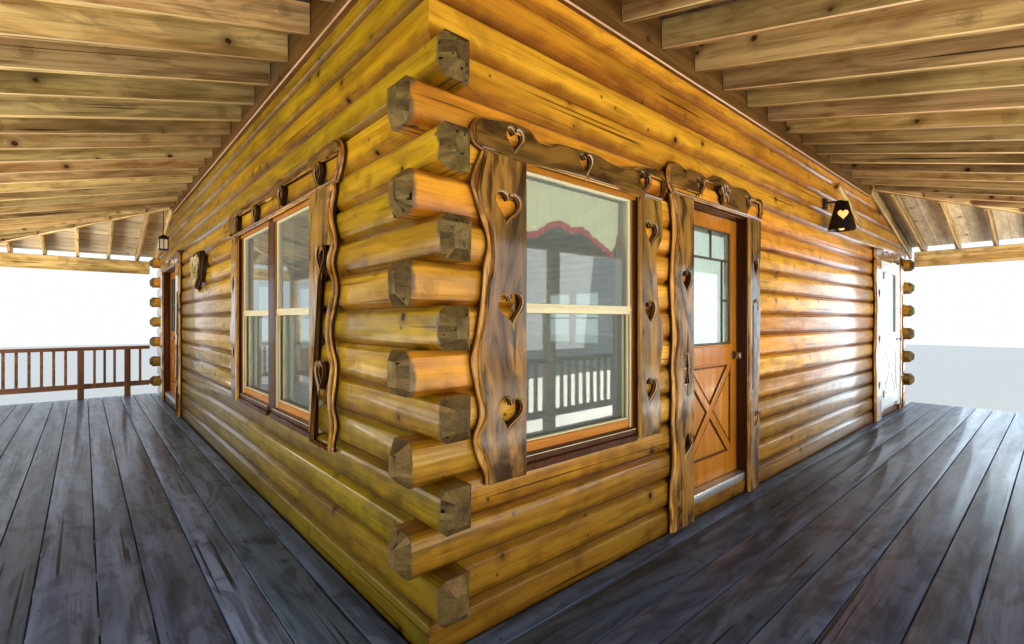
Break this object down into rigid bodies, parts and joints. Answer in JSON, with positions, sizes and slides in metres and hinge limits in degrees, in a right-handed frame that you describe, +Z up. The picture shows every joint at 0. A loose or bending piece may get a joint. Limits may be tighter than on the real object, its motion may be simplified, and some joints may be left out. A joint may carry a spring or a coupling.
{
  "type": "log cabin",
  "caption": "Log cabin with lapped log corners, gabled roof, hipped porch round two sides with railings and steps, pierced slab casings and hinged doors.",
  "frame": {"origin": "on the ground, at the middle of the box that holds the cabin with its eaves and steps", "axes": "+Z up, -Y out of the front wall, -X out of the left wall"},
  "size_m": [12.7602, 12.87, 7.4806],
  "materials": {
    "log": "glossy honey stain",
    "dark_slab": "dark gloss varnish",
    "deck_board": "slate stain, worn",
    "rail_wood": "brown stain",
    "sheathing": "bare boards",
    "roofing": "matt",
    "glass": "clear",
    "amber_glass": "clear amber",
    "rafter_wood": "weathered",
    "white_paint": "white paint",
    "orange_wood": "satin varnish",
    "jamb_wood": "dark brown paint",
    "masonry": "rough cast",
    "floor_wood": "boards",
    "cream_sash": "cream paint",
    "sill_metal": "mill finish",
    "black_iron": "black, matt",
    "plaque_wood": "oiled"
  },
  "bodies": {
    "cabin": {"back_gable": "log", "back_wall": "log", "bracket_light": "black_iron", "bracket_light_bulb": "amber_glass", "deck_frame": "deck_board", "deck_front": "deck_board", "deck_left": "deck_board", "deck_piers": "masonry", "door_casings": "dark_slab", "door_frames": "jamb_wood", "door_hinges": "black_iron", "door_sills": "sill_metal", "end_rail_posts": "rail_wood", "end_railing": "rail_wood", "floor": "floor_wood", "floor_joists": "floor_wood", "foundation": "masonry", "front_gable": "log", "front_railing": "rail_wood", "front_wall_head": "log", "front_wall_left": "log", "front_wall_middle": "log", "front_wall_right": "log", "hanging_lantern": "black_iron", "heart_plaque": "plaque_wood", "hip_rafters": "rafter_wood", "left_railing": "rail_wood", "left_wall_back": "log", "left_wall_front": "log", "left_wall_head": "log", "main_roof_left": "roofing", "main_roof_right": "roofing", "porch_beams": "rafter_wood", "porch_ledgers": "rafter_wood", "porch_posts": "rafter_wood", "porch_rafters": "rafter_wood", "porch_roof_ends": "sheathing", "porch_roof_front": "sheathing", "porch_roof_left": "sheathing", "purlins": "rafter_wood", "ridge_cap": "roofing", "right_wall": "log", "sill_logs": "log", "step_stringers": "deck_board", "step_treads": "deck_board", "wall_brace": "plaque_wood", "window_casings": "dark_slab", "window_frames": "jamb_wood", "window_glass": "glass", "window_sashes": "cream_sash"},
    "front_door": {"front_door": "orange_wood", "front_door_glass": "glass"},
    "white_door": {"white_door": "white_paint", "white_door_glass": "glass"},
    "side_door_back": {"side_door_back": "orange_wood", "side_door_back_glass": "glass"},
    "side_door_front": {"side_door_front": "orange_wood", "side_door_front_glass": "glass"}
  },
  "joints": [
    {"name": "front_door_hinge", "type": "hinge", "parent": "cabin", "child": "front_door", "pos_m": [-1.56865, -3.5677, 0.8], "axis": [0, 0, 1], "range_deg": [0, 90]},
    {"name": "white_door_hinge", "type": "hinge", "parent": "cabin", "child": "white_door", "pos_m": [3.76835, -3.7353, 0.8], "axis": [0, 0, -1], "range_deg": [0, 100]},
    {"name": "side_door_back_hinge", "type": "hinge", "parent": "cabin", "child": "side_door_back", "pos_m": [-3.51285, 4.8155, 0.8], "axis": [0, 0, 1], "range_deg": [0, 90]},
    {"name": "side_door_front_hinge", "type": "hinge", "parent": "cabin", "child": "side_door_front", "pos_m": [-3.51285, 3.2025, 0.8], "axis": [0, 0, -1], "range_deg": [0, 90]}
  ]
}
